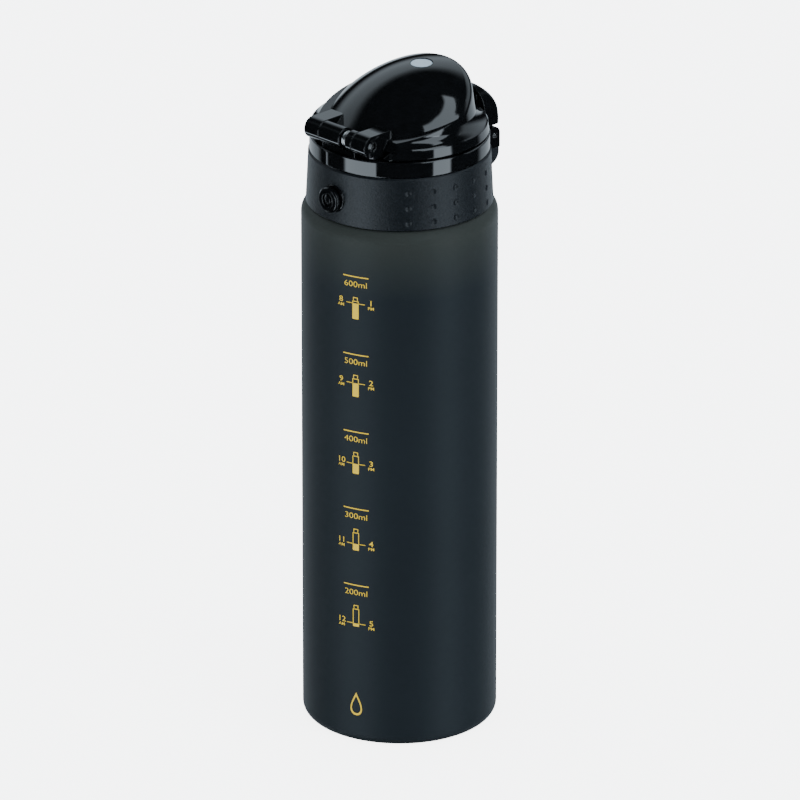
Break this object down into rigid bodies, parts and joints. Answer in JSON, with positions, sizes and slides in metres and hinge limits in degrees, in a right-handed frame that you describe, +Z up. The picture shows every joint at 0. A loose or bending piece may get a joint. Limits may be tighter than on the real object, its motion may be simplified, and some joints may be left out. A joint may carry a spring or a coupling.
{
  "type": "sports drinking bottle",
  "caption": "Tall cylindrical drinking bottle with printed graduations and a screw cap with a flip-top lid, thumb latch and gripping collar.",
  "frame": {"origin": "centre of the flat base, where the bottle stands", "axes": "+Z up along the bottle's axis, +X toward the thumb latch, -X toward the lid hinge and strap stud, +Y completes the right-handed frame"},
  "size_m": [0.0776, 0.07, 0.2463],
  "materials": {
    "smoke_shell": "frosted, soft-touch, slightly translucent smoke grey",
    "grip": "matte textured",
    "gloss_black": "polished",
    "lid_black": "polished",
    "liner_black": "fine matte",
    "spout_clear": "satin",
    "silicone": "soft matte",
    "silver_dot": "pale silver",
    "steel": "drawn wire and rod"
  },
  "bodies": {
    "bottle": {"bottle_body": "smoke_shell"},
    "gasket": {"cap_gasket": "silicone"},
    "cap": {"cap_base": "gloss_black", "grip_sleeve": "grip", "strap_stud": "gloss_black", "drinking_spout": "spout_clear", "spout_o_ring": "silicone", "vent_valve": "silicone", "hinge_pin": "steel", "hinge_spring": "steel", "latch_pin": "steel", "latch_spring": "steel"},
    "latch": {"latch_lever": "gloss_black"},
    "lid": {"lid_dome": "lid_black", "lid_inlay": "silver_dot", "lid_liner": "liner_black", "lid_seal": "silicone"}
  },
  "joints": [
    {"name": "cap_turn", "type": "hinge", "parent": "gasket", "child": "cap", "pos_m": [0, 0, 0.21], "axis": [0, 0, 1], "range_deg": [0, 450]},
    {"name": "cap_rise", "type": "slide", "parent": "bottle", "child": "gasket", "axis": [0, 0, 1], "range_m": [0, 0.01]},
    {"name": "lid_open", "type": "hinge", "parent": "cap", "child": "lid", "pos_m": [-0.0286, 0, 0.2287], "axis": [0, -1, 0], "range_deg": [0, 130]},
    {"name": "latch_press", "type": "hinge", "parent": "cap", "child": "latch", "pos_m": [0.0389, 0, 0.2133], "axis": [0, 1, 0], "range_deg": [0, 28], "stiffness_Nm_per_rad": 0.02, "springref_deg": -14.32}
  ],
  "couplings": [
    {"joint": "cap_turn", "follows": "cap_rise", "rad_per_m": 785.4}
  ]
}
